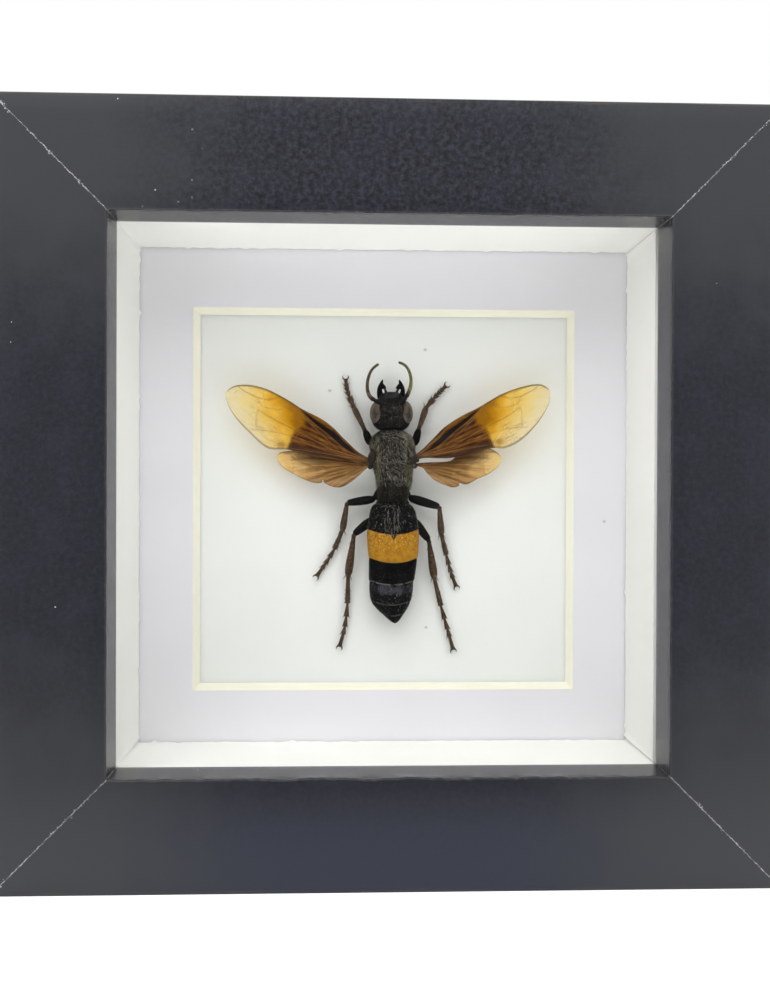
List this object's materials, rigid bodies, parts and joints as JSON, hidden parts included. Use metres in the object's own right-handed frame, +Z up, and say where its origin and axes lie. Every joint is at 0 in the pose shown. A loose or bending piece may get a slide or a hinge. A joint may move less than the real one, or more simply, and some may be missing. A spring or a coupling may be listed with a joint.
{
  "type": "framed wasp specimen",
  "caption": "Square deep box frame with mitred black rails, clear glass, white lining, bevelled window mat and a dried wasp with spread wings glued on the backing board.",
  "frame": {"origin": "middle of the footprint, under the frame's bottom edge", "axes": "+Z up, -Y out of the glass towards the viewer, +X to the viewer's right"},
  "size_m": [0.15, 0.0434, 0.15],
  "materials": {
    "frame_paint": "satin black paint over wood, worn at the edges",
    "glass": "clear polished",
    "white_board": "matt white board",
    "mat_paper": "matt grey-white mat with a cream core bevel",
    "backing_paper": "matt white paper",
    "fibreboard": "brown pressed fibreboard",
    "tab_steel": "plain rolled steel",
    "hanger_brass": "brass-plated steel",
    "glue": "dried clear-yellow glue",
    "wasp_chitin": "black to dark brown chitin with an orange band",
    "wasp_wing": "thin amber membrane, dark brown at the base",
    "wasp_hair": "short dull yellow-grey hair"
  },
  "bodies": {
    "root": {"frame_rail_top": "frame_paint", "frame_rail_bottom": "frame_paint", "frame_rail_left": "frame_paint", "frame_rail_right": "frame_paint", "glass_pane": "glass", "lining_top": "white_board", "lining_bottom": "white_board", "lining_left": "white_board", "lining_right": "white_board", "mat_board": "mat_paper", "backing_board": "backing_paper", "back_board": "fibreboard", "flex_tab_1": "tab_steel", "flex_tab_2": "tab_steel", "flex_tab_3": "tab_steel", "flex_tab_4": "tab_steel", "flex_tab_5": "tab_steel", "flex_tab_6": "tab_steel", "flex_tab_7": "tab_steel", "flex_tab_8": "tab_steel", "hanger_plate": "hanger_brass", "hanger_nail_left": "hanger_brass", "hanger_nail_right": "hanger_brass", "glue_dab": "glue", "wasp": "wasp_chitin"}
  },
  "joints": []
}
